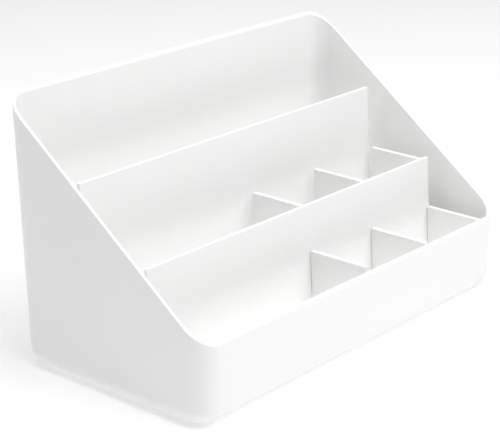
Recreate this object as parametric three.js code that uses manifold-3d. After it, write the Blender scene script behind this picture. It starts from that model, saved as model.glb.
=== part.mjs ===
// Desk organizer: a slant-cut tub that stands on four pads, with two lift-out partitions and two
// lift-out divider inserts. Units are millimetres: +X right, +Y back, +Z up. The origin is the
// middle of the object's plan, on the surface that it stands on.
import * as THREE from 'three';
import { mergeVertices } from 'three/addons/utils/BufferGeometryUtils.js';
import Module from 'manifold-3d';

const wasm = await Module();
wasm.setup();

const degrees = THREE.MathUtils.degToRad;

// Driving dimensions. Heights are measured from the tub's underside, and depths (Y) from the
// middle of the tub's footprint.
const TUB_WIDTH = 250;
const TUB_DEPTH = 126;
const BACK_HEIGHT = 142;
const FRONT_HEIGHT = 42;
const BACK_LEAN = Math.tan(degrees(2.5));
const WALL = 2;
const CORNER_RADIUS = 13;
const BASE_RADIUS = 10;
const GAP = 0.4; // between pieces that touch

const PARTITION_WIDTH = 231.5;
const PARTITION_X = -1.25; // both partitions stand a little to the left of the middle
const PARTITION_LEAN = Math.tan(degrees(3.5));
const PARTITION_THICKNESS = 2;
const FOOT_PLATE = 1.6; // thickness of a partition's foot and of an insert's floor
const ROOT_RADIUS = 1.5; // in the corner between a partition's panel and its foot
const PARTITION_HEEL = 1.5; // rounds its bottom back edge
const REAR_PARTITION = { top: 103.4, topBack: 25.8 };
const FRONT_PARTITION = { top: 70.2, topBack: -18.5 };
const FRONT_FOOT_LENGTH = 29;

const UPRIGHT_THICKNESS = 2.8; // at the top edge
const UPRIGHT_TAPER = 0.2; // added to each side at the floor
const UPRIGHT_PITCH = 53.5;
const UPRIGHT_FIRST = 6.4; // X of the left-hand upright's middle plane
const MIDDLE_TOPS = [68.3, 68.3, 68.3];
const FRONT_TOPS = [44.7, 42.7, 41.0];
const MIDDLE_INSERT_BACK = 18.4; // upright back edge, where the rear partition leaves room for it
const FRONT_INSERT_FRONT = -58.8; // upright front edge
const TOP_CORNER = 0.6; // rounded top corners of the uprights
const HEEL_RADIUS = 3; // their bottom back corners clear a partition's root
const FRONT_TOE_RADIUS = 9; // clears the curve at the bottom of the tub's front wall

const PAD_RADIUS = 7;
const PAD_HEIGHT = 1.3;
const PAD_PROUD = 0.8;
const PAD_EDGE = 0.3; // chamfer around its underside
const PAD_INSET_X = 22; // from the tub's side wall to the pad's middle
const PAD_INSET_Y = 20;
const RIB = { width: 60, depth: 1.6, height: 3, x: 70 }; // floor ribs behind the rear partition

// How finely the curves are divided.
const CORNER_STEPS = 5;
const BASE_STEPS = 6;
const SMALL_CURVE_STEPS = 4;
const ROUND_STEPS = 32;

// Colours, as sRGB.
const WHITE_TUB = 0xf2f2f1;
const WHITE_INNER = 0xf0f0ef;
const PAD_GREY = 0xd6d7d5;

// --- helpers -----------------------------------------------------------------------------------

function toSolid(geometry) {
  const plain = geometry.index ? geometry.clone() : geometry;
  plain.deleteAttribute('normal');
  plain.deleteAttribute('uv');
  const merged = mergeVertices(plain, 1e-4);
  return new wasm.Manifold(new wasm.Mesh({
    numProp: 3,
    vertProperties: new Float32Array(merged.attributes.position.array),
    triVerts: new Uint32Array(merged.index.array),
  }));
}

function toGeometry(solid) {
  const mesh = solid.getMesh();
  const geometry = new THREE.BufferGeometry();
  geometry.setAttribute('position', new THREE.BufferAttribute(new Float32Array(mesh.vertProperties), 3));
  geometry.setIndex(new THREE.BufferAttribute(new Uint32Array(mesh.triVerts), 1));
  geometry.computeVertexNormals();
  return geometry;
}

function plastic(name, color, roughness) {
  return new THREE.MeshStandardMaterial({ name, color, roughness, metalness: 0 });
}

function named(name, geometry, material) {
  const mesh = new THREE.Mesh(geometry, material);
  mesh.name = name;
  return mesh;
}

// A profile drawn in (Y, Z) and drawn out along X, centred on the given X.
function alongX(profile, length, centre = 0) {
  const geometry = new THREE.ExtrudeGeometry(profile, {
    depth: length,
    bevelEnabled: false,
    curveSegments: SMALL_CURVE_STEPS,
  });
  geometry.translate(0, 0, -length / 2);
  const yzx = new THREE.Matrix4().makeBasis(
    new THREE.Vector3(0, 1, 0),
    new THREE.Vector3(0, 0, 1),
    new THREE.Vector3(1, 0, 0),
  );
  geometry.applyMatrix4(yzx);
  geometry.translate(centre, 0, 0);
  return geometry;
}

// --- tub ---------------------------------------------------------------------------------------

function roundedRectangle(width, depth, radius) {
  const x = width / 2 - radius;
  const y = depth / 2 - radius;
  const shape = new THREE.Shape();
  shape.absarc(x, -y, radius, -Math.PI / 2, 0);
  shape.absarc(x, y, radius, 0, Math.PI / 2);
  shape.absarc(-x, y, radius, Math.PI / 2, Math.PI);
  shape.absarc(-x, -y, radius, Math.PI, 1.5 * Math.PI);
  shape.closePath();
  return shape;
}

// A tall block with rounded upright corners and a rounded bottom edge; its back face leans back.
function tubBlock(inset) {
  const edge = BASE_RADIUS - inset;
  const outline = roundedRectangle(TUB_WIDTH - 2 * inset, TUB_DEPTH - 2 * inset, CORNER_RADIUS - inset);
  const geometry = new THREE.ExtrudeGeometry(outline, {
    depth: BACK_HEIGHT,
    bevelThickness: edge,
    bevelSize: edge,
    bevelOffset: -edge,
    bevelSegments: BASE_STEPS,
    curveSegments: CORNER_STEPS,
  });
  geometry.translate(0, 0, inset + edge);
  const position = geometry.attributes.position;
  for (let i = 0; i < position.count; i += 1) {
    if (position.getY(i) > 0) {
      position.setY(i, position.getY(i) + position.getZ(i) * BACK_LEAN);
    }
  }
  return toSolid(geometry);
}

// Everything above the slanted plane that the whole rim lies in.
function aboveRim() {
  const frontY = -TUB_DEPTH / 2;
  const backY = TUB_DEPTH / 2 + BACK_HEIGHT * BACK_LEAN;
  const slant = Math.atan2(BACK_HEIGHT - FRONT_HEIGHT, backY - frontY);
  const size = 2 * TUB_WIDTH;
  const geometry = new THREE.BoxGeometry(size, size, size);
  geometry.translate(0, 0, size / 2);
  geometry.rotateX(slant);
  geometry.translate(0, (frontY + backY) / 2, (FRONT_HEIGHT + BACK_HEIGHT) / 2);
  return toSolid(geometry);
}

function padPlaces() {
  const x = TUB_WIDTH / 2 - PAD_INSET_X;
  const y = TUB_DEPTH / 2 - PAD_INSET_Y;
  return [
    { name: 'pad_front_left', x: -x, y: -y },
    { name: 'pad_front_right', x, y: -y },
    { name: 'pad_back_left', x: -x, y },
    { name: 'pad_back_right', x, y },
  ];
}

// A shallow round pocket in the underside that a pad sits in.
function padPocket(place) {
  const depth = PAD_HEIGHT - PAD_PROUD + GAP;
  const radius = PAD_RADIUS + GAP;
  const geometry = new THREE.CylinderGeometry(radius, radius, 2 * depth, ROUND_STEPS);
  geometry.rotateX(Math.PI / 2);
  geometry.translate(place.x, place.y, 0);
  return toSolid(geometry);
}

function floorRib(side) {
  const heel = partitionHeel(REAR_PARTITION);
  const geometry = new THREE.BoxGeometry(RIB.width, RIB.depth, RIB.height + WALL / 2);
  const z = WALL + RIB.height - (RIB.height + WALL / 2) / 2;
  geometry.translate(side * RIB.x, heel + GAP + RIB.depth / 2, z);
  return toSolid(geometry);
}

function tub() {
  let solid = tubBlock(0).subtract(tubBlock(WALL)).subtract(aboveRim());
  for (const side of [-1, 1]) {
    solid = solid.add(floorRib(side));
  }
  for (const place of padPlaces()) {
    solid = solid.subtract(padPocket(place));
  }
  return named('tub', toGeometry(solid), plastic('white_tub', WHITE_TUB, 0.42));
}

function pad(place) {
  const profile = [
    new THREE.Vector2(0, 0),
    new THREE.Vector2(PAD_RADIUS - PAD_EDGE, 0),
    new THREE.Vector2(PAD_RADIUS, PAD_EDGE),
    new THREE.Vector2(PAD_RADIUS, PAD_HEIGHT),
    new THREE.Vector2(0, PAD_HEIGHT),
  ];
  const geometry = new THREE.LatheGeometry(profile, ROUND_STEPS);
  geometry.rotateX(Math.PI / 2);
  const mesh = named(place.name, toGeometry(toSolid(geometry)), plastic('pad_silicone', PAD_GREY, 0.7));
  mesh.position.set(place.x, place.y, -PAD_PROUD);
  return mesh;
}

// --- partitions --------------------------------------------------------------------------------

// Y of a partition's back face at a height.
function panelBack(partition, z) {
  return partition.topBack - (partition.top - z) * PARTITION_LEAN;
}

// Y of its front face at a height.
function panelFront(partition, z) {
  return panelBack(partition, z) - PARTITION_THICKNESS;
}

// Y of its back face where it meets the floor.
function partitionHeel(partition) {
  return panelBack(partition, WALL + GAP);
}

// A flat panel that leans back, on a foot that reaches forward under its compartments.
function partitionProfile(height, footLength) {
  const root = ROOT_RADIUS;
  const heel = PARTITION_HEEL;
  const face = (z) => z * PARTITION_LEAN - PARTITION_THICKNESS;
  const profile = new THREE.Shape();
  profile.moveTo(-heel, 0);
  profile.quadraticCurveTo(0, 0, heel * PARTITION_LEAN, heel);
  profile.lineTo(height * PARTITION_LEAN, height);
  profile.lineTo(face(height), height);
  profile.lineTo(face(FOOT_PLATE + root), FOOT_PLATE + root);
  profile.quadraticCurveTo(face(FOOT_PLATE), FOOT_PLATE, face(FOOT_PLATE) - root, FOOT_PLATE);
  profile.lineTo(-footLength, FOOT_PLATE);
  profile.lineTo(-footLength, 0);
  profile.closePath();
  return profile;
}

function partition(name, place, footLength) {
  const bottom = WALL + GAP;
  const profile = partitionProfile(place.top - bottom, footLength);
  const geometry = alongX(profile, PARTITION_WIDTH, PARTITION_X);
  const mesh = named(name, toGeometry(toSolid(geometry)), plastic('white_inner', WHITE_INNER, 0.42));
  mesh.position.set(0, partitionHeel(place), bottom);
  return mesh;
}

// --- divider inserts ---------------------------------------------------------------------------

const INSERT_BOTTOM = WALL + GAP + FOOT_PLATE + GAP;

// One upright wall of an insert in (Y, Z). edges.backAt and edges.frontAt give its back and front
// edges' Y at a height, and the back edge may bend at one height. The toe is the rounded bottom
// front corner.
function uprightProfile(top, edges) {
  const { backAt, backBend, frontAt, toe } = edges;
  const bottom = INSERT_BOTTOM;
  const shoulder = top - TOP_CORNER;
  const profile = new THREE.Shape();
  profile.moveTo(backAt(bottom) - HEEL_RADIUS, bottom);
  profile.quadraticCurveTo(backAt(bottom), bottom, backAt(bottom + HEEL_RADIUS), bottom + HEEL_RADIUS);
  if (backBend) {
    profile.lineTo(backAt(backBend), backBend);
  }
  profile.lineTo(backAt(shoulder), shoulder);
  profile.quadraticCurveTo(backAt(top), top, backAt(top) - TOP_CORNER, top);
  profile.lineTo(frontAt(top) + TOP_CORNER, top);
  profile.quadraticCurveTo(frontAt(top), top, frontAt(shoulder), shoulder);
  profile.lineTo(frontAt(bottom + toe), bottom + toe);
  profile.quadraticCurveTo(frontAt(bottom), bottom, frontAt(bottom) + toe, bottom);
  profile.closePath();
  return profile;
}

// Thickens an upright evenly towards the floor.
function taperUpright(geometry, centre, top) {
  const position = geometry.attributes.position;
  for (let i = 0; i < position.count; i += 1) {
    const side = Math.sign(position.getX(i) - centre);
    const down = (top - position.getZ(i)) / (top - INSERT_BOTTOM);
    position.setX(i, position.getX(i) + side * UPRIGHT_TAPER * down);
  }
  return geometry;
}

function insertFloorProfile(back, front) {
  const profile = new THREE.Shape();
  profile.moveTo(front, INSERT_BOTTOM);
  profile.lineTo(back, INSERT_BOTTOM);
  profile.lineTo(back, INSERT_BOTTOM + FOOT_PLATE);
  profile.lineTo(front, INSERT_BOTTOM + FOOT_PLATE);
  profile.closePath();
  return profile;
}

// Two small compartments: three uprights in a row on one floor.
function insert(name, tops, edges) {
  let solid = null;
  tops.forEach((top, index) => {
    const centre = UPRIGHT_FIRST + index * UPRIGHT_PITCH;
    const geometry = alongX(uprightProfile(top, edges), UPRIGHT_THICKNESS, centre);
    const upright = toSolid(taperUpright(geometry, centre, top));
    solid = solid ? solid.add(upright) : upright;
  });
  const length = 2 * UPRIGHT_PITCH + UPRIGHT_THICKNESS;
  const floorFront = edges.frontAt(INSERT_BOTTOM) + edges.toe;
  const floor = insertFloorProfile(edges.backAt(INSERT_BOTTOM) - HEEL_RADIUS, floorFront);
  solid = solid.add(toSolid(alongX(floor, length, UPRIGHT_FIRST + UPRIGHT_PITCH)));
  return named(name, toGeometry(solid), plastic('white_inner', WHITE_INNER, 0.42));
}

// Height at which a partition's front face, with the gap, reaches a given Y.
function heightAtFace(partition, y) {
  return partition.top - (partition.topBack - PARTITION_THICKNESS - GAP - y) / PARTITION_LEAN;
}

// Its back edges are upright, and lean with the rear partition only low down, where that is closer.
function middleInsert() {
  return insert('middle_insert', MIDDLE_TOPS, {
    backAt: (z) => Math.min(MIDDLE_INSERT_BACK, panelFront(REAR_PARTITION, z) - GAP),
    backBend: heightAtFace(REAR_PARTITION, MIDDLE_INSERT_BACK),
    frontAt: (z) => panelBack(FRONT_PARTITION, z) + GAP,
    toe: TOP_CORNER,
  });
}

function frontInsert() {
  return insert('front_insert', FRONT_TOPS, {
    backAt: (z) => panelFront(FRONT_PARTITION, z) - GAP,
    frontAt: () => FRONT_INSERT_FRONT,
    toe: FRONT_TOE_RADIUS,
  });
}

// --- assembly ----------------------------------------------------------------------------------

// The rear foot ends just behind the front partition's panel.
function rearFootLength() {
  const frontPanel = panelBack(FRONT_PARTITION, WALL + GAP + FOOT_PLATE);
  return partitionHeel(REAR_PARTITION) - frontPanel - GAP;
}

const organizer = new THREE.Group();
organizer.name = 'desk_organizer';
organizer.position.set(0, -(BACK_HEIGHT * BACK_LEAN) / 2, PAD_PROUD);
organizer.add(tub());
for (const place of padPlaces()) {
  organizer.add(pad(place));
}
organizer.add(partition('rear_partition', REAR_PARTITION, rearFootLength()));
organizer.add(partition('front_partition', FRONT_PARTITION, FRONT_FOOT_LENGTH));
organizer.add(middleInsert());
organizer.add(frontInsert());

export default organizer;
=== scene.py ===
"""The desk organizer's visual model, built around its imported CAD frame. All sizes are in metres."""
import math

import bmesh
import bpy
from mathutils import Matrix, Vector


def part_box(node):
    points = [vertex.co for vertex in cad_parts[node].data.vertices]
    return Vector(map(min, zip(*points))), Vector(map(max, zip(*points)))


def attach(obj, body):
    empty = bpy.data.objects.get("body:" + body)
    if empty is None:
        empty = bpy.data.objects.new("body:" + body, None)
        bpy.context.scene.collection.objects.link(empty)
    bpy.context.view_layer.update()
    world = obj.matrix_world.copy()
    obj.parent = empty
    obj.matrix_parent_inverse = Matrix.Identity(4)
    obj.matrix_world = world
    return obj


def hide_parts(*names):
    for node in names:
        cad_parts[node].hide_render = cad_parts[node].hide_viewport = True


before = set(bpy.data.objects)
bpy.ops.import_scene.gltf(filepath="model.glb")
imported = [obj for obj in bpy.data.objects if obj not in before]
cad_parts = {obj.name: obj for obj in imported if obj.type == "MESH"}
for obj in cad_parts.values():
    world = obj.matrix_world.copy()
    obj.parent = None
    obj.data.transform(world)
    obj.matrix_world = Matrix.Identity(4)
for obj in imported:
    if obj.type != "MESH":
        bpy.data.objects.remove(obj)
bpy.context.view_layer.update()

MM = 0.001

# The tub. Its overall size comes from the frame.
TUB_LOW, TUB_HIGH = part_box("tub")
BACK_LEAN = math.tan(math.radians(2.5))
BACK_HEIGHT = TUB_HIGH.z - TUB_LOW.z
FRONT_HEIGHT = 42 * MM
WALL = 2 * MM
CORNER_RADIUS = 13 * MM
BASE_RADIUS = 10 * MM
RIM_ROUNDING = 0.75 * MM
TUB_WIDTH = TUB_HIGH.x - TUB_LOW.x
TUB_DEPTH = TUB_HIGH.y - TUB_LOW.y - BACK_HEIGHT * BACK_LEAN
TUB_MIDDLE = TUB_LOW.y + TUB_DEPTH / 2
GAP = 0.4 * MM

# The partitions and the inserts.
LEAN = math.tan(math.radians(3.5))
PANEL = 2 * MM
FOOT = 1.6 * MM
ROOT_RADIUS = 1.5 * MM
HEEL_ROUNDING = 1.5 * MM
UPRIGHT = 2.8 * MM
UPRIGHT_TAPER = 0.2 * MM
UPRIGHT_PITCH = 53.5 * MM
FRONT_TOPS = (44.7 * MM, 42.7 * MM, 41.0 * MM)
FRONT_TOE = 9 * MM
FILLET = 1.0 * MM
EDGE = 0.45 * MM
INSERT_EDGE = 0.4 * MM  # also rounds the uprights' top corners

# The pads and the floor ribs.
PADS = ("pad_front_left", "pad_front_right", "pad_back_left", "pad_back_right")
PAD_POCKET_GAP = 0.4 * MM
RIB_LENGTH = 60 * MM
RIB_DEPTH = 1.6 * MM
RIB_HEIGHT = 3 * MM
RIB_X = 70 * MM
RIB_ROUNDING = 0.4 * MM
RIB_DRAFT = 0.9  # its thickness at the top, as a share of that at its root

# The marks that the mould leaves.
EJECTOR_RADIUS = 4 * MM
EJECTOR_DEPTH = 0.15 * MM
EJECTOR_X = (40 * MM, 95 * MM)
EJECTOR_Y = 37 * MM  # behind the tub's middle

# The camera stands in front of the left corner and a little above the rim.
CAMERA_AZIMUTH = math.radians(-49.26)
CAMERA_ELEVATION = math.radians(19.86)
CAMERA_DISTANCE = 897.95 * MM
CAMERA_TARGET = Vector((-7.68, 5.82, 61.27)) * MM
CAMERA_LENS = 121.16

FLOOR_HALF = 6.0
FLOOR_GLOW = 0.3
FLOOR_DROP = 0.02 * MM  # keeps the floor out of the plane of the pads' undersides
SOFTBOX_SIZE = 1.2
SOFTBOX_DISTANCE = 1.6


# --- helpers ---------------------------------------------------------------------------------

def mix(a, b, share):
    return a + (b - a) * share


def steps(count):
    """0 to 1 in equal steps, both ends included."""
    return [i / count for i in range(count + 1)]


def curve(start, corner, end, count):
    """Points from start to end that round the corner, both ends included."""
    points = []
    for t in steps(count):
        points.append(start * (1 - t) ** 2 + corner * 2 * t * (1 - t) + end * t ** 2)
    return points


def leaning(y, z):
    """For a face that leans as the partitions do and passes through (y, z): its Y at a height."""
    return lambda height: y - (z - height) * LEAN


def new_object(name, bm):
    bmesh.ops.recalc_face_normals(bm, faces=bm.faces)
    mesh = bpy.data.meshes.new(name)
    bm.to_mesh(mesh)
    bm.free()
    piece = bpy.data.objects.new(name, mesh)
    bpy.context.scene.collection.objects.link(piece)
    return piece


def bridge(bm, ring_a, ring_b):
    """Joins two closed rings of the same length with quads."""
    for i, vert in enumerate(ring_a):
        j = (i + 1) % len(ring_a)
        bm.faces.new((vert, ring_a[j], ring_b[j], ring_b[i]))


def face(bm, verts):
    """A face on the verts given, each used once."""
    unique = list(dict.fromkeys(verts))
    if len(unique) > 2:
        bm.faces.new(unique)


def bake_modifiers(piece):
    """Keeps the shape that the modifiers make, and drops the modifiers."""
    graph = bpy.context.evaluated_depsgraph_get()
    shaped = bpy.data.meshes.new_from_object(piece.evaluated_get(graph))
    piece.modifiers.clear()
    piece.data = shaped


def combine(piece, other, operation):
    """Cuts another piece out of this one or joins it on, and removes the other."""
    modifier = piece.modifiers.new("combine", "BOOLEAN")
    modifier.operation = operation
    modifier.solver = "EXACT"
    modifier.object = other
    bake_modifiers(piece)
    bpy.data.objects.remove(other)


def round_edges(piece, width, segments):
    """Rounds every edge that turns by more than 40 degrees."""
    bevel = piece.modifiers.new("rounded edges", "BEVEL")
    bevel.limit_method = "ANGLE"
    bevel.angle_limit = math.radians(40)
    bevel.width = width
    bevel.segments = segments
    bevel.use_clamp_overlap = False
    bake_modifiers(piece)


def smooth(piece, sharp_angle=50):
    """Smooth shading that leaves the large flat faces flat."""
    for polygon in piece.data.polygons:
        polygon.use_smooth = True
    piece.data.set_sharp_from_angle(angle=math.radians(sharp_angle))
    normals = piece.modifiers.new("flat faces", "WEIGHTED_NORMAL")
    normals.weight = 100
    normals.keep_sharp = True


def place(piece, node, body, material):
    """Puts a finished piece in its CAD node's place."""
    piece.data.materials.clear()
    piece.data.materials.append(material)
    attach(piece, body)
    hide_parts(node)


# --- materials -------------------------------------------------------------------------------

def link(tree, source, output, target, socket):
    tree.links.new(source.outputs[output], target.inputs[socket])


def noise(tree, position, scale, detail, roughness=0.5):
    node = tree.nodes.new("ShaderNodeTexNoise")
    node.inputs["Scale"].default_value = scale
    node.inputs["Detail"].default_value = detail
    node.inputs["Roughness"].default_value = roughness
    link(tree, position, "Object", node, "Vector")
    return node


def scaled(tree, source, low, high):
    node = tree.nodes.new("ShaderNodeMapRange")
    node.inputs["From Min"].default_value = 0.3
    node.inputs["From Max"].default_value = 0.7
    node.inputs["To Min"].default_value = low
    node.inputs["To Max"].default_value = high
    link(tree, source, "Fac", node, "Value")
    return node


def bumped(tree, height, distance, strength, below=None):
    node = tree.nodes.new("ShaderNodeBump")
    node.inputs["Distance"].default_value = distance
    node.inputs["Strength"].default_value = strength
    link(tree, height, "Fac", node, "Height")
    if below:
        link(tree, below, "Normal", node, "Normal")
    return node


def moulded(name, light, dark, roughness, grain, subsurface):
    """Moulded plastic: a fine even grain from the mould, faint flow marks in its colour and gloss,
    and long shallow sink waves."""
    material = bpy.data.materials.new(name)
    material.use_nodes = True
    tree = material.node_tree
    shader = tree.nodes["Principled BSDF"]
    shader.inputs["IOR"].default_value = 1.5
    shader.inputs["Subsurface Weight"].default_value = subsurface
    shader.inputs["Subsurface Radius"].default_value = (1.0, 0.9, 0.8)
    shader.inputs["Subsurface Scale"].default_value = 2 * MM
    position = tree.nodes.new("ShaderNodeTexCoord")

    flow = noise(tree, position, 14, 3, 0.55)
    tone = tree.nodes.new("ShaderNodeValToRGB")
    tone.color_ramp.elements[0].position = 0.3
    tone.color_ramp.elements[0].color = (*dark, 1)
    tone.color_ramp.elements[1].position = 0.7
    tone.color_ramp.elements[1].color = (*light, 1)
    link(tree, flow, "Fac", tone, "Fac")
    link(tree, tone, "Color", shader, "Base Color")

    patches = noise(tree, position, 60, 4)
    gloss = scaled(tree, patches, roughness - 0.04, roughness + 0.04)
    link(tree, gloss, "Result", shader, "Roughness")

    waves = bumped(tree, noise(tree, position, 9, 1), 0.25 * MM, 0.25)
    pitted = bumped(tree, noise(tree, position, 2600, 2, 0.6), grain, 0.35, below=waves)
    link(tree, pitted, "Normal", shader, "Normal")
    return material


def tub_plastic():
    return moulded("tub plastic", (0.955, 0.955, 0.95), (0.94, 0.94, 0.937), 0.36, 0.02 * MM, 0.12)


def panel_plastic():
    return moulded("panel plastic", (0.95, 0.95, 0.946), (0.935, 0.935, 0.932), 0.36, 0.02 * MM, 0.12)


def insert_plastic():
    return moulded("insert plastic", (0.95, 0.95, 0.946), (0.935, 0.935, 0.932), 0.38, 0.02 * MM, 0.12)


def pad_silicone():
    return moulded("pad silicone", (0.86, 0.86, 0.85), (0.82, 0.82, 0.81), 0.6, 0.03 * MM, 0.3)


# --- tub -------------------------------------------------------------------------------------

SIDE_STEPS_X = 20
SIDE_STEPS_Y = 12
CORNER_STEPS = 12
BASE_STEPS = 8
WALL_STEPS = 8
RIM_STEPS = 4


class Column:
    """One vertical line of the tub's wall: the grid point of the floor that it stands out from, and
    the direction that the wall faces there."""

    def __init__(self, i, j, degrees):
        self.i = i
        self.j = j
        self.nx = math.cos(math.radians(degrees))
        self.ny = math.sin(math.radians(degrees))


def grid_x(i):
    half = TUB_WIDTH / 2 - CORNER_RADIUS
    return mix(-half, half, i / SIDE_STEPS_X)


def grid_y(j):
    half = TUB_DEPTH / 2 - CORNER_RADIUS
    return mix(-half, half, j / SIDE_STEPS_Y)


def lean_share(j):
    """The front doesn't lean, the back leans fully, and the side walls join the two."""
    return BACK_LEAN * j / SIDE_STEPS_Y


def plan():
    """The columns of the tub's wall, once round from the left end of the front."""
    right, back = SIDE_STEPS_X, SIDE_STEPS_Y
    turn = [90 * t for t in steps(CORNER_STEPS)][1:-1]
    columns = [Column(i, 0, -90) for i in range(right + 1)]
    columns += [Column(right, 0, -90 + a) for a in turn]
    columns += [Column(right, j, 0) for j in range(back + 1)]
    columns += [Column(right, back, a) for a in turn]
    columns += [Column(i, back, 90) for i in range(right, -1, -1)]
    columns += [Column(0, back, 90 + a) for a in turn]
    columns += [Column(0, j, 180) for j in range(back, -1, -1)]
    columns += [Column(0, 0, 180 + a) for a in turn]
    return columns


def grid_point(i, j, z):
    return Vector((grid_x(i), TUB_MIDDLE + grid_y(j) + z * lean_share(j), TUB_LOW.z + z))


def wall_point(column, inset, z):
    out = CORNER_RADIUS - inset
    return grid_point(column.i, column.j, z) + Vector((column.nx * out, column.ny * out, 0))


def rim_height(column, inset):
    """How high the wall reaches at a column, where the slanted plane of the rim cuts it."""
    slope = (BACK_HEIGHT - FRONT_HEIGHT) / (TUB_HIGH.y - TUB_LOW.y)
    foot = wall_point(column, inset, 0)
    return (FRONT_HEIGHT + (foot.y - TUB_LOW.y) * slope) / (1 - lean_share(column.j) * slope)


def rim_profile(column):
    """The points over the rim at one column: up the outside, round both edges and down the inside."""
    up = Vector((0, lean_share(column.j), 1)).normalized() * RIM_ROUNDING
    outer = wall_point(column, 0, rim_height(column, 0))
    inner = wall_point(column, WALL, rim_height(column, WALL))
    across = (inner - outer).normalized() * RIM_ROUNDING
    points = curve(outer - up, outer, outer + across, RIM_STEPS)
    return points + curve(inner - across, inner, inner - up, RIM_STEPS)


def base_curve(column, inset):
    """The points round the bottom edge of the wall's outer or inner face, from the floor up."""
    radius = BASE_RADIUS - inset
    points = []
    for t in steps(BASE_STEPS):
        angle = t * math.pi / 2
        points.append(wall_point(
            column,
            BASE_RADIUS - radius * math.sin(angle),
            BASE_RADIUS - radius * math.cos(angle),
        ))
    return points


def column_points(column):
    """Every point of the wall's section at one column, from the underside, over the rim, to the floor."""
    outside = base_curve(column, 0)
    inside = base_curve(column, WALL)
    rim = rim_profile(column)
    rise = [mix(outside[-1], rim[0], t) for t in steps(WALL_STEPS)[1:-1]]
    drop = [mix(rim[-1], inside[-1], t) for t in steps(WALL_STEPS)[1:-1]]
    return outside + rise + rim + drop + inside[::-1]


def fill_floor(bm, columns, ring, z):
    """Fills the flat floor inside a ring with a grid."""
    rows = []
    for j in range(SIDE_STEPS_Y + 1):
        rows.append([bm.verts.new(grid_point(i, j, z)) for i in range(SIDE_STEPS_X + 1)])
    for low, high in zip(rows, rows[1:]):
        for i in range(SIDE_STEPS_X):
            bm.faces.new((low[i], low[i + 1], high[i + 1], high[i]))
    for k, column in enumerate(columns):
        n = (k + 1) % len(columns)
        following = columns[n]
        face(bm, (ring[k], ring[n], rows[following.j][following.i], rows[column.j][column.i]))


def tub_shell():
    bm = bmesh.new()
    columns = plan()
    sections = [column_points(column) for column in columns]
    rings = []
    for level in zip(*sections):
        rings.append([bm.verts.new(point) for point in level])
    for ring_a, ring_b in zip(rings, rings[1:]):
        bridge(bm, ring_a, ring_b)
    fill_floor(bm, columns, rings[0], 0)
    fill_floor(bm, columns, rings[-1], WALL)
    return new_object("tub_shell", bm)


def turned(name, profile, centre, segments=48):
    """A round solid from (radius, height) points that start and end on its axis."""
    bm = bmesh.new()
    rings = []
    for radius, height in profile:
        if radius == 0:
            rings.append([bm.verts.new(centre + Vector((0, 0, height)))] * segments)
            continue
        ring = []
        for k in range(segments):
            angle = 2 * math.pi * k / segments
            offset = Vector((radius * math.cos(angle), radius * math.sin(angle), height))
            ring.append(bm.verts.new(centre + offset))
        rings.append(ring)
    for ring_a, ring_b in zip(rings, rings[1:]):
        for k in range(segments):
            n = (k + 1) % segments
            face(bm, (ring_a[k], ring_a[n], ring_b[n], ring_b[k]))
    return new_object(name, bm)


def pad_pocket(node):
    low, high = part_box(node)
    radius = (high.x - low.x) / 2 + PAD_POCKET_GAP
    top = high.z + PAD_POCKET_GAP
    middle = Vector(((low.x + high.x) / 2, (low.y + high.y) / 2, 0))
    corner = 0.2 * MM
    profile = [(0, -top), (radius, -top), (radius, top - corner), (radius - corner, top), (0, top)]
    return turned("pocket", profile, middle)


def gate_mark():
    """The shallow dimple in the middle of the underside that the moulding gate leaves."""
    profile = [(0, 0.5), (2.5, 0.45), (5, 0.15), (5.5, 0), (5.5, -1), (0, -1)]
    scaled_profile = [(r * MM, z * MM) for r, z in profile]
    return turned("gate", scaled_profile, Vector((0, TUB_MIDDLE, TUB_LOW.z)))


def ejector_mark(x, y):
    """A shallow round witness mark that an ejector pin leaves in the floor."""
    profile = [
        (0, -EJECTOR_DEPTH),
        (EJECTOR_RADIUS, -EJECTOR_DEPTH),
        (EJECTOR_RADIUS, MM),
        (0, MM),
    ]
    return turned("ejector", profile, Vector((x, y, TUB_LOW.z + WALL)))


def floor_rib(side):
    """A low rib on the floor behind the rear partition, thicker at its root than at its rounded top."""
    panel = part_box("rear_partition")[1]
    heel = panel.y - (panel.z - TUB_LOW.z - WALL) * LEAN
    middle = Vector((side * RIB_X, heel + GAP + RIB_DEPTH / 2, TUB_LOW.z + WALL))
    sunk = WALL / 2
    bm = bmesh.new()
    rings = []
    for z, share in ((-sunk, 1), (0, 1), (RIB_HEIGHT, RIB_DRAFT)):
        half_x = RIB_LENGTH / 2 - RIB_DEPTH * (1 - share)
        half_y = RIB_DEPTH / 2 * share
        corners = ((-half_x, -half_y), (half_x, -half_y), (half_x, half_y), (-half_x, half_y))
        rings.append([bm.verts.new(middle + Vector((x, y, z))) for x, y in corners])
    for ring_a, ring_b in zip(rings, rings[1:]):
        bridge(bm, ring_a, ring_b)
    face(bm, rings[0])
    face(bm, rings[-1])
    rib = new_object("rib", bm)
    round_edges(rib, RIB_ROUNDING, 3)
    return rib


def tub(material):
    piece = tub_shell()
    for node in PADS:
        combine(piece, pad_pocket(node), "DIFFERENCE")
    combine(piece, gate_mark(), "DIFFERENCE")
    for side in (-1, 1):
        combine(piece, floor_rib(side), "UNION")
        for x in EJECTOR_X:
            combine(piece, ejector_mark(side * x, TUB_MIDDLE + EJECTOR_Y), "DIFFERENCE")
    smooth(piece)
    place(piece, "tub", "tub", material)


# --- pads ------------------------------------------------------------------------------------

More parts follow.
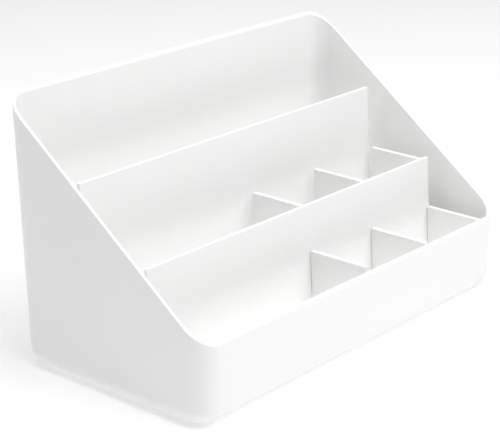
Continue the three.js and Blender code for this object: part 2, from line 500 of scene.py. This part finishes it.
def pad(node, material):
    """A soft disc with a rounded edge and a shallow ring groove in the face that it stands on."""
    low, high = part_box(node)
    radius = (high.x - low.x) / 2
    top = high.z
    middle = Vector(((low.x + high.x) / 2, (low.y + high.y) / 2, 0))
    groove = 0.2 * MM
    profile = [
        (0, 0),
        (radius * 0.55, 0),
        (radius * 0.58, groove),
        (radius * 0.66, groove),
        (radius * 0.69, 0),
        (radius * 0.92, 0),
        (radius * 0.98, 0.12 * MM),
        (radius, 0.4 * MM),
        (radius, top - 0.15 * MM),
        (radius * 0.98, top),
        (0, top),
    ]
    piece = turned(node + "_disc", profile, middle)
    smooth(piece, 60)
    place(piece, node, "tub", material)


# --- partitions ------------------------------------------------------------------------------

PANEL_STEPS = 8
FOOT_STEPS = 6
ROUND_STEPS = 5
LENGTH_STEPS = 24


def partition_paths(node):
    """The section's two faces as (Y, Z) paths with matching points, from the top edge to the toe: the
    front of the panel and top of the foot, and the back of the panel and underside of the foot."""
    low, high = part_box(node)
    back = leaning(high.y, high.z)
    front = leaning(high.y - PANEL, high.z)
    paths = []
    for face_at, floor, radius in ((front, low.z + FOOT, ROOT_RADIUS), (back, low.z, HEEL_ROUNDING)):
        top = Vector((face_at(high.z), high.z))
        start = Vector((face_at(floor + radius), floor + radius))
        corner = Vector((face_at(floor), floor))
        end = corner - Vector((radius, 0))
        toe = Vector((low.y, floor))
        panel = [mix(top, start, t) for t in steps(PANEL_STEPS)]
        foot = [mix(end, toe, t) for t in steps(FOOT_STEPS)]
        paths.append(panel + curve(start, corner, end, ROUND_STEPS)[1:-1] + foot)
    return paths


def partition(node, material):
    """One L-shaped moulding: a leaning panel on a foot, drawn out across the tub."""
    low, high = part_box(node)
    upper, lower = partition_paths(node)
    bm = bmesh.new()
    sections = []
    for t in steps(LENGTH_STEPS):
        x = mix(low.x, high.x, t)
        fronts = [bm.verts.new((x, p.x, p.y)) for p in upper]
        backs = [bm.verts.new((x, p.x, p.y)) for p in lower]
        sections.append((fronts, backs))
    for (fronts_a, backs_a), (fronts_b, backs_b) in zip(sections, sections[1:]):
        bridge(bm, fronts_a + backs_a[::-1], fronts_b + backs_b[::-1])
    for fronts, backs in (sections[0], sections[-1]):
        for k in range(len(fronts) - 1):
            bm.faces.new((fronts[k], fronts[k + 1], backs[k + 1], backs[k]))
    piece = new_object(node + "_panel", bm)
    round_edges(piece, EDGE, 3)
    smooth(piece)
    place(piece, node, node, material)


# --- divider inserts -------------------------------------------------------------------------

FLOOR_LEVELS = 3
FILLET_LEVELS = 4
TOE_LEVELS = 5
RISE_LEVELS = 6
DEPTH_STEPS = 10


def upright_levels(bottom, top, toe):
    """The heights at which an upright is divided, closest where its outline curves."""
    floor = bottom + FOOT
    root = floor + FILLET
    knee = max(bottom + toe, root + FILLET)
    levels = [mix(bottom, floor, t) for t in steps(FLOOR_LEVELS)]
    levels += [floor + FILLET * t ** 2 for t in steps(FILLET_LEVELS)[1:]]
    levels += [mix(root, knee, t) for t in steps(TOE_LEVELS)[1:]]
    levels += [mix(knee, top, t) for t in steps(RISE_LEVELS)[1:]]
    return levels


def rounded_edge(line, z, bottom, corner):
    """The Y of an upright's front or back edge at a height: a line with a rounded bottom corner. The
    corner's sign says which way the edge turns in."""
    below = (z - bottom) / abs(corner)
    if below < 1:
        return line(z) + corner * (1 - math.sqrt(max(0, below))) ** 2
    return line(z)


def flare(z, floor):
    """How far an upright's root fillet stands out from its face at a height."""
    rise = max(0, z - floor) / FILLET
    if rise >= 1:
        return 0
    return FILLET * (1 - math.sqrt(rise)) ** 2


def comb_cells(bottom, centres, tops, toe):
    """The insert's cross-section in (X, Z), cut into cells: its uprights in steps from the floor up,
    and the floor between them."""
    floor = bottom + FOOT
    last = len(centres) - 1
    points = {}
    cells = []
    for k, (centre, top) in enumerate(zip(centres, tops)):
        for j, z in enumerate(upright_levels(bottom, top, toe)):
            half = UPRIGHT / 2 + UPRIGHT_TAPER * (top - z) / (top - bottom)
            left = flare(z, floor) if k > 0 else 0
            right = flare(z, floor) if k < last else 0
            points["left", k, j] = (centre - half - left, z)
            points["right", k, j] = (centre + half + right, z)
            if j > 0:
                cells.append((("left", k, j - 1), ("right", k, j - 1), ("right", k, j), ("left", k, j)))
            if k > 0 and 0 < j <= FLOOR_LEVELS:
                cells.append((
                    ("right", k - 1, j - 1),
                    ("left", k, j - 1),
                    ("left", k, j),
                    ("right", k - 1, j),
                ))
    return points, cells


def outer_edges(cells):
    """The cell edges that belong to one cell only."""
    uses = {}
    for cell in cells:
        for a, b in zip(cell, cell[1:] + cell[:1]):
            uses.setdefault(frozenset((a, b)), []).append((a, b))
    return [found[0] for found in uses.values() if len(found) == 1]


def insert(node, front, back, toe, tops, material):
    """Three uprights on one thin floor. front and back give the edges' Y at a height."""
    low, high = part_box(node)
    first = low.x + UPRIGHT / 2 + UPRIGHT_TAPER
    centres = [first + k * UPRIGHT_PITCH for k in range(len(tops))]
    points, cells = comb_cells(low.z, centres, tops, toe)
    bm = bmesh.new()
    lines = {}
    for key, (x, z) in points.items():
        y_front = rounded_edge(front, z, low.z, toe)
        y_back = rounded_edge(back, z, low.z, -FOOT)
        lines[key] = [bm.verts.new((x, mix(y_front, y_back, t), z)) for t in steps(DEPTH_STEPS)]
    for cell in cells:
        bm.faces.new([lines[key][0] for key in cell])
        bm.faces.new([lines[key][-1] for key in cell])
    for a, b in outer_edges(cells):
        for t in range(DEPTH_STEPS):
            bm.faces.new((lines[a][t], lines[b][t], lines[b][t + 1], lines[a][t + 1]))
    piece = new_object(node + "_comb", bm)
    round_edges(piece, INSERT_EDGE, 3)
    smooth(piece)
    place(piece, node, node, material)


def middle_insert(material):
    front_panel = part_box("front_partition")[1]
    rear_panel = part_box("rear_partition")[1]
    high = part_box("middle_insert")[1]
    front = leaning(front_panel.y + GAP, front_panel.z)
    room = leaning(rear_panel.y - PANEL - GAP, rear_panel.z)

    def back(z):
        return min(high.y, room(z))

    insert("middle_insert", front, back, FOOT, [high.z] * 3, material)


def front_insert(material):
    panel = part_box("front_partition")[1]
    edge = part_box("front_insert")[0].y
    tops = [TUB_LOW.z + top for top in FRONT_TOPS]
    back = leaning(panel.y - PANEL - GAP, panel.z)

    def front(z):
        return edge

    insert("front_insert", front, back, FRONT_TOE, tops, material)


# --- studio ----------------------------------------------------------------------------------

def camera():
    data = bpy.data.cameras.new("camera")
    data.lens = CAMERA_LENS
    data.sensor_width = 36
    data.clip_start = 0.05
    data.clip_end = 20
    view = bpy.data.objects.new("camera", data)
    bpy.context.scene.collection.objects.link(view)
    back = Vector((
        math.sin(CAMERA_AZIMUTH) * math.cos(CAMERA_ELEVATION),
        -math.cos(CAMERA_AZIMUTH) * math.cos(CAMERA_ELEVATION),
        math.sin(CAMERA_ELEVATION),
    ))
    view.location = CAMERA_TARGET + back * CAMERA_DISTANCE
    view.rotation_mode = "QUATERNION"
    view.rotation_quaternion = (-back).to_track_quat("-Z", "Y")
    bpy.context.scene.camera = view


def softbox(name, azimuth, elevation, power):
    """A square soft light that faces the object. Its azimuth is 0 at the front and 90 on the right."""
    data = bpy.data.lights.new(name, "AREA")
    data.shape = "SQUARE"
    data.size = SOFTBOX_SIZE
    data.energy = power
    light = bpy.data.objects.new(name, data)
    bpy.context.scene.collection.objects.link(light)
    turn = math.radians(azimuth)
    rise = math.radians(elevation)
    away = Vector((math.sin(turn) * math.cos(rise), -math.cos(turn) * math.cos(rise), math.sin(rise)))
    light.location = Vector((0, 0, BACK_HEIGHT / 2)) + away * SOFTBOX_DISTANCE
    light.rotation_mode = "QUATERNION"
    light.rotation_quaternion = away.to_track_quat("Z", "Y")


def surroundings(strength):
    """Even white light from all round."""
    world = bpy.data.worlds.new("studio")
    world.use_nodes = True
    background = world.node_tree.nodes["Background"]
    background.inputs["Color"].default_value = (1, 1, 1, 1)
    background.inputs["Strength"].default_value = strength
    bpy.context.scene.world = world


def studio_floor():
    """A plain pale floor with a faint glow, which keeps the contact shadow soft."""
    material = bpy.data.materials.new("floor")
    material.use_nodes = True
    shader = material.node_tree.nodes["Principled BSDF"]
    shader.inputs["Base Color"].default_value = (0.75, 0.75, 0.75, 1)
    shader.inputs["Roughness"].default_value = 0.9
    shader.inputs["Specular IOR Level"].default_value = 0.1
    shader.inputs["Emission Color"].default_value = (1, 1, 1, 1)
    shader.inputs["Emission Strength"].default_value = FLOOR_GLOW
    bm = bmesh.new()
    bmesh.ops.create_grid(bm, x_segments=8, y_segments=8, size=FLOOR_HALF)
    floor = new_object("studio_floor", bm)
    floor.location.z = -FLOOR_DROP
    floor.data.materials.append(material)


tub(tub_plastic())
for pad_node in PADS:
    pad(pad_node, pad_silicone())
partition("rear_partition", panel_plastic())
partition("front_partition", panel_plastic())
middle_insert(insert_plastic())
front_insert(insert_plastic())

studio_floor()
surroundings(0.15)
softbox("front", 0, 50, 11)
softbox("front right", 45, 50, 6)
softbox("back left", 225, 50, 6)
softbox("top", 0, 90, 12.5)
camera()
bpy.context.scene.view_settings.view_transform = "Standard"
bpy.context.scene.cycles.max_bounces = 24
bpy.context.scene.cycles.diffuse_bounces = 16
